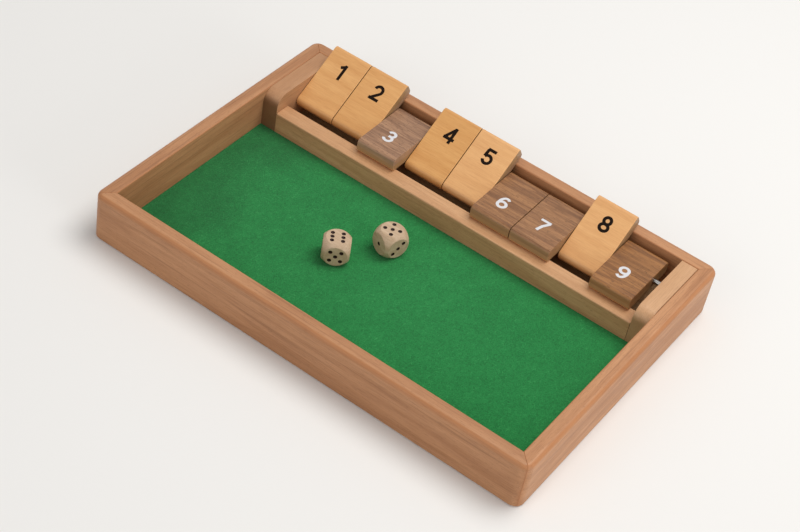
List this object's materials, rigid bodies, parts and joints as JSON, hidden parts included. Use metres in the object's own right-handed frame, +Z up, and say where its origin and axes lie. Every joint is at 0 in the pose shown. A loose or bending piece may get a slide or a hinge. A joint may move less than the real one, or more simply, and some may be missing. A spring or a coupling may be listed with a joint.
{
  "type": "shut the box dice game",
  "caption": "Wooden tray dice game with a felt well, a row of two-tone number tiles that flip over a steel rod, and wooden dice.",
  "frame": {"origin": "middle of the tray's footprint, on the surface that it stands on", "axes": "+X along the tray's long side, from tile 1 to tile 9; +Y from the open front of the dice well to the tile row; +Z up"},
  "size_m": [0.29, 0.2018, 0.0417],
  "materials": {
    "beech_wall": "satin lacquered beech",
    "beech_rail": "satin lacquered beech",
    "maple_block": "satin lacquered pale hardwood",
    "plywood": "bare plywood",
    "green_felt": "short-pile felt",
    "rod_steel": "bright drawn steel",
    "tile_beech": "satin lacquered pale hardwood with a black numeral",
    "tile_walnut": "satin lacquered dark hardwood with a white numeral",
    "die_wood": "smooth pale hardwood with dark pips"
  },
  "bodies": {
    "tray": {"front_wall": "beech_wall", "back_wall": "beech_wall", "left_wall": "beech_wall", "right_wall": "beech_wall", "base_board": "plywood", "felt": "green_felt", "tile_rail": "beech_rail", "left_block": "maple_block", "right_block": "maple_block", "rod": "rod_steel"},
    "tile_1": {"tile_1_pale": "tile_beech", "tile_1_dark": "tile_walnut"},
    "tile_2": {"tile_2_pale": "tile_beech", "tile_2_dark": "tile_walnut"},
    "tile_3": {"tile_3_pale": "tile_beech", "tile_3_dark": "tile_walnut"},
    "tile_4": {"tile_4_pale": "tile_beech", "tile_4_dark": "tile_walnut"},
    "tile_5": {"tile_5_pale": "tile_beech", "tile_5_dark": "tile_walnut"},
    "tile_6": {"tile_6_pale": "tile_beech", "tile_6_dark": "tile_walnut"},
    "tile_7": {"tile_7_pale": "tile_beech", "tile_7_dark": "tile_walnut"},
    "tile_8": {"tile_8_pale": "tile_beech", "tile_8_dark": "tile_walnut"},
    "tile_9": {"tile_9_pale": "tile_beech", "tile_9_dark": "tile_walnut"},
    "die_1": {"die_1": "die_wood"},
    "die_2": {"die_2": "die_wood"}
  },
  "joints": [
    {"name": "tile_1_flip", "type": "hinge", "parent": "tray", "child": "tile_1", "pos_m": [0, 0.0719, 0.0246], "axis": [1, 0, 0], "range_deg": [0, 148.8]},
    {"name": "tile_2_flip", "type": "hinge", "parent": "tray", "child": "tile_2", "pos_m": [0, 0.0719, 0.0246], "axis": [1, 0, 0], "range_deg": [0, 148.8]},
    {"name": "tile_3_flip", "type": "hinge", "parent": "tray", "child": "tile_3", "pos_m": [0, 0.0719, 0.0246], "axis": [1, 0, 0], "range_deg": [-148.8, 0]},
    {"name": "tile_4_flip", "type": "hinge", "parent": "tray", "child": "tile_4", "pos_m": [0, 0.0719, 0.0246], "axis": [1, 0, 0], "range_deg": [0, 148.8]},
    {"name": "tile_5_flip", "type": "hinge", "parent": "tray", "child": "tile_5", "pos_m": [0, 0.0719, 0.0246], "axis": [1, 0, 0], "range_deg": [0, 148.8]},
    {"name": "tile_6_flip", "type": "hinge", "parent": "tray", "child": "tile_6", "pos_m": [0, 0.0719, 0.0246], "axis": [1, 0, 0], "range_deg": [-148.8, 0]},
    {"name": "tile_7_flip", "type": "hinge", "parent": "tray", "child": "tile_7", "pos_m": [0, 0.0719, 0.0246], "axis": [1, 0, 0], "range_deg": [-148.8, 0]},
    {"name": "tile_8_flip", "type": "hinge", "parent": "tray", "child": "tile_8", "pos_m": [0, 0.0719, 0.0246], "axis": [1, 0, 0], "range_deg": [0, 148.8]},
    {"name": "tile_9_flip", "type": "hinge", "parent": "tray", "child": "tile_9", "pos_m": [0, 0.0719, 0.0246], "axis": [1, 0, 0], "range_deg": [-148.8, 0]},
    {"name": "die_1_lift", "type": "slide", "parent": "tray", "child": "die_1", "axis": [0, 0, 1], "range_m": [0, 0.05]},
    {"name": "die_2_lift", "type": "slide", "parent": "tray", "child": "die_2", "axis": [0, 0, 1], "range_m": [0, 0.05]}
  ]
}
